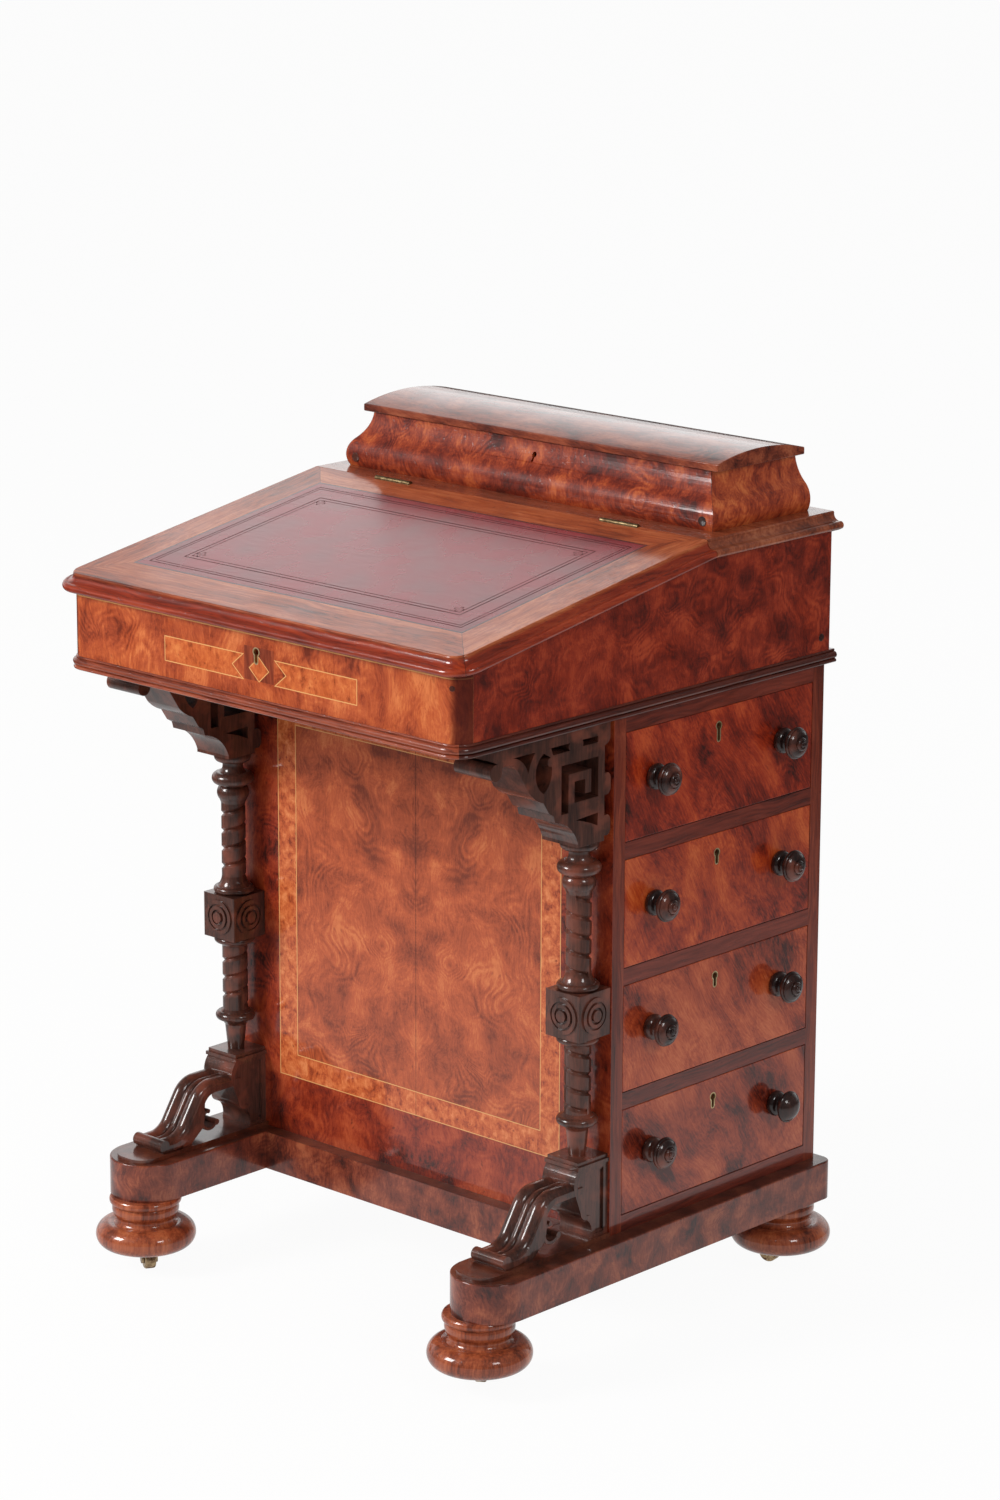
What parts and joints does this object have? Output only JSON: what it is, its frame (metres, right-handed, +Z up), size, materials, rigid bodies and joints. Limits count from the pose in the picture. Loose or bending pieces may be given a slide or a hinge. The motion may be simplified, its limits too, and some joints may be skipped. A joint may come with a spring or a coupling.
{
  "type": "davenport desk",
  "caption": "Small writing desk: a sloping leather-topped lid over a box that overhangs a pedestal of side drawers, carried in front by spiral-turned columns and fretted brackets.",
  "frame": {"origin": "on the floor under the middle of the desk's bounding box", "axes": "+Z up; -Y the writer's side, where the slope's front edge is; +X the side that the drawers open to"},
  "size_m": [0.55, 0.5438, 0.8144],
  "materials": {
    "walnut": "burr walnut veneer, French polished",
    "dark_turned_wood": "dark stained hardwood, wax polished",
    "inner_wood": "plain mahogany lining, thin shellac",
    "leather": "burgundy skiver, blind tooled, waxed",
    "brass": "aged brass, softly polished"
  },
  "bodies": {
    "carcase": {"base_arm_left": "walnut", "base_arm_right": "walnut", "base_platform": "walnut", "pedestal_front_panel": "walnut", "pedestal_back_panel": "walnut", "pedestal_left_panel": "walnut", "dummy_fronts": "walnut", "box_front": "walnut", "box_side_left": "walnut", "box_side_right": "walnut", "box_back": "walnut", "box_bottom": "walnut", "top_board": "walnut", "pen_box_walls": "walnut", "scroll_foot_left": "dark_turned_wood", "scroll_foot_right": "dark_turned_wood", "column_left": "dark_turned_wood", "column_right": "dark_turned_wood", "bracket_left": "dark_turned_wood", "bracket_right": "dark_turned_wood", "bun_foot_front_left": "dark_turned_wood", "bun_foot_front_right": "dark_turned_wood", "bun_foot_rear_left": "dark_turned_wood", "bun_foot_rear_right": "dark_turned_wood", "dummy_knobs": "dark_turned_wood", "pedestal_boards": "inner_wood", "pen_box_base": "inner_wood", "caster_plates": "brass", "fixed_escutcheons": "brass", "slope_hinges_fixed": "brass", "pen_hinges_fixed": "brass"},
    "writing_lid": {"lid_board": "walnut", "lid_leather": "leather", "slope_hinges_moving": "brass"},
    "stationery_lid": {"pen_box_lid": "walnut", "pen_hinges_moving": "brass"},
    "drawer_1": {"drawer_1_front": "walnut", "drawer_1_tray": "inner_wood", "drawer_1_knobs": "dark_turned_wood", "drawer_1_escutcheon": "brass"},
    "drawer_2": {"drawer_2_front": "walnut", "drawer_2_tray": "inner_wood", "drawer_2_knobs": "dark_turned_wood", "drawer_2_escutcheon": "brass"},
    "drawer_3": {"drawer_3_front": "walnut", "drawer_3_tray": "inner_wood", "drawer_3_knobs": "dark_turned_wood", "drawer_3_escutcheon": "brass"},
    "drawer_4": {"drawer_4_front": "walnut", "drawer_4_tray": "inner_wood", "drawer_4_knobs": "dark_turned_wood", "drawer_4_escutcheon": "brass"},
    "swivel_front_left": {"caster_fork_front_left": "brass"},
    "wheel_front_left": {"caster_wheel_front_left": "brass"},
    "swivel_front_right": {"caster_fork_front_right": "brass"},
    "wheel_front_right": {"caster_wheel_front_right": "brass"},
    "swivel_rear_left": {"caster_fork_rear_left": "brass"},
    "wheel_rear_left": {"caster_wheel_rear_left": "brass"},
    "swivel_rear_right": {"caster_fork_rear_right": "brass"},
    "wheel_rear_right": {"caster_wheel_rear_right": "brass"}
  },
  "joints": [
    {"name": "writing_lid_hinge", "type": "hinge", "parent": "carcase", "child": "writing_lid", "pos_m": [0, 0.064, 0.747], "axis": [-1, 0, 0], "range_deg": [0, 105]},
    {"name": "stationery_lid_hinge", "type": "hinge", "parent": "carcase", "child": "stationery_lid", "pos_m": [0, 0.2328, 0.799], "axis": [-1, 0, 0], "range_deg": [0, 100]},
    {"name": "drawer_1_slide", "type": "slide", "parent": "carcase", "child": "drawer_1", "axis": [1, 0, 0], "range_m": [0, 0.33]},
    {"name": "drawer_2_slide", "type": "slide", "parent": "carcase", "child": "drawer_2", "axis": [1, 0, 0], "range_m": [0, 0.33]},
    {"name": "drawer_3_slide", "type": "slide", "parent": "carcase", "child": "drawer_3", "axis": [1, 0, 0], "range_m": [0, 0.33]},
    {"name": "drawer_4_slide", "type": "slide", "parent": "carcase", "child": "drawer_4", "axis": [1, 0, 0], "range_m": [0, 0.33]},
    {"name": "caster_swivel_front_left", "type": "hinge", "parent": "carcase", "child": "swivel_front_left", "pos_m": [-0.222, -0.203, 0.0227], "axis": [0, 0, 1], "continuous": true},
    {"name": "caster_roll_front_left", "type": "hinge", "parent": "swivel_front_left", "child": "wheel_front_left", "pos_m": [-0.21247, -0.2085, 0.01], "axis": [0.5, 0.866, 0], "continuous": true},
    {"name": "caster_swivel_front_right", "type": "hinge", "parent": "carcase", "child": "swivel_front_right", "pos_m": [0.222, -0.203, 0.0227], "axis": [0, 0, 1], "continuous": true},
    {"name": "caster_roll_front_right", "type": "hinge", "parent": "swivel_front_right", "child": "wheel_front_right", "pos_m": [0.21553, -0.1941, 0.01], "axis": [-0.809, -0.5878, 0], "continuous": true},
    {"name": "caster_swivel_rear_left", "type": "hinge", "parent": "carcase", "child": "swivel_rear_left", "pos_m": [-0.222, 0.2234, 0.0227], "axis": [0, 0, 1], "continuous": true},
    {"name": "caster_roll_rear_left", "type": "hinge", "parent": "swivel_rear_left", "child": "wheel_rear_left", "pos_m": [-0.21166, 0.22716, 0.01], "axis": [-0.342, 0.9397, 0], "continuous": true},
    {"name": "caster_swivel_rear_right", "type": "hinge", "parent": "carcase", "child": "swivel_rear_right", "pos_m": [0.222, 0.2234, 0.0227], "axis": [0, 0, 1], "continuous": true},
    {"name": "caster_roll_rear_right", "type": "hinge", "parent": "swivel_rear_right", "child": "wheel_rear_right", "pos_m": [0.21114, 0.22168, 0.01], "axis": [0.1564, -0.9877, 0], "continuous": true}
  ]
}
